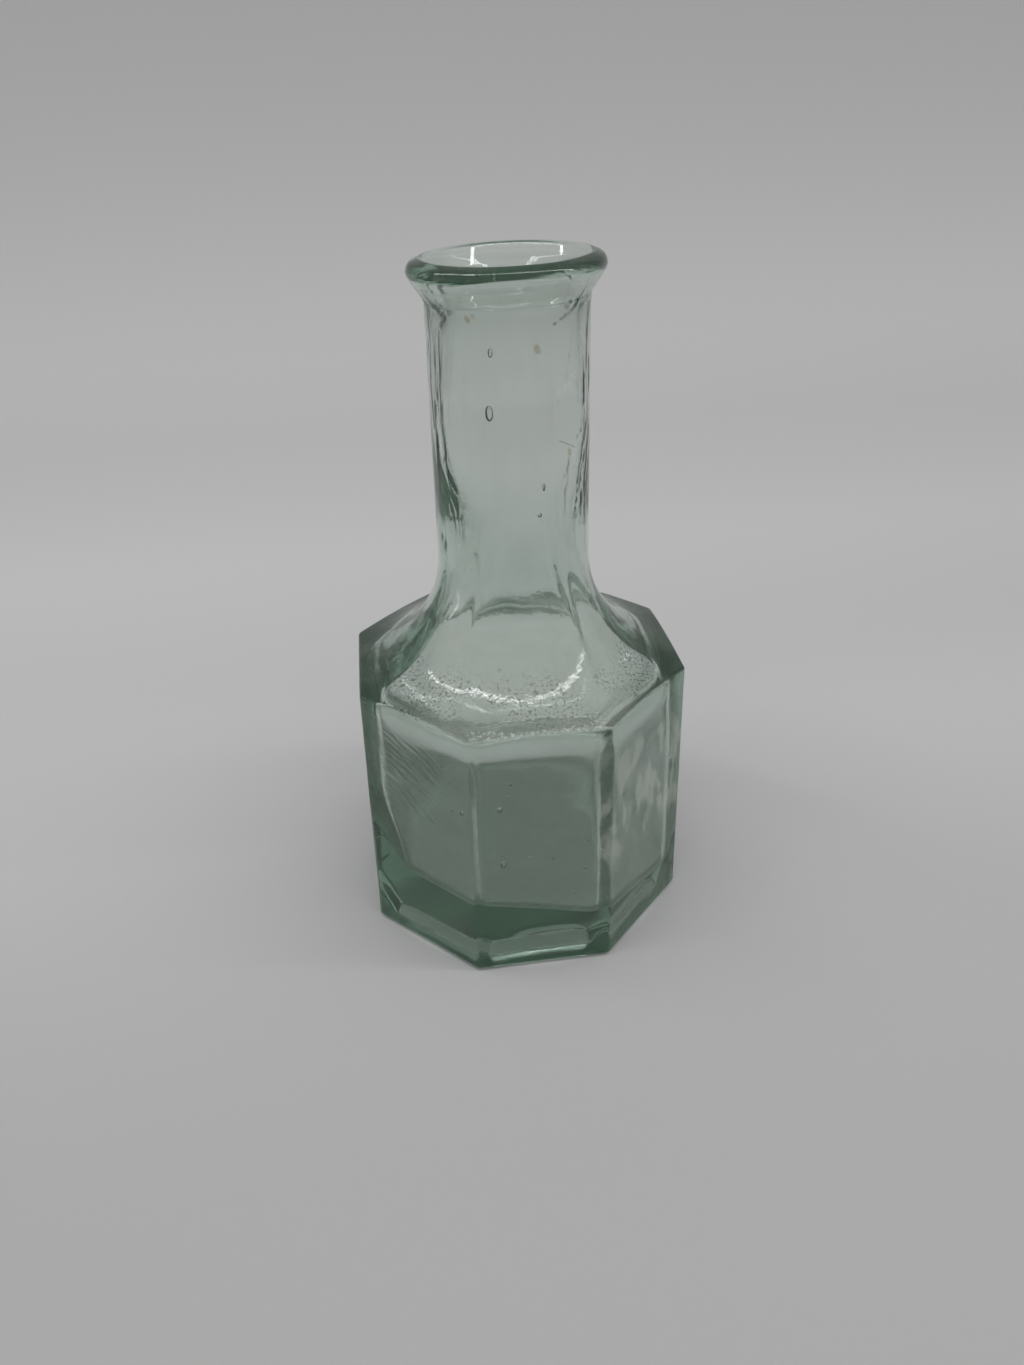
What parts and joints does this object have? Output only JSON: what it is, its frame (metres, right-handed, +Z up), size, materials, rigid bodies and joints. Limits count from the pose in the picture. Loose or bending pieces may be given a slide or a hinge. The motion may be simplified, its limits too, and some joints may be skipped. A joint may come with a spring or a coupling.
{
  "type": "octagonal glass bottle",
  "caption": "Small pale green glass bottle with a flat-sided octagonal body, a hollow-curved shoulder, a tall round neck and a flared, rounded lip, open at the mouth.",
  "frame": {"origin": "middle of the base's underside, on the axis of the neck", "axes": "+Z up along the neck's axis; -Y out of the front panel"},
  "size_m": [0.0412, 0.0412, 0.082],
  "materials": {
    "aqua_glass": "clear, fire-smooth and a little wavy from the mould, with small bubbles"
  },
  "bodies": {
    "root": {"bottle_body": "aqua_glass", "lip_ring": "aqua_glass"}
  },
  "joints": []
}
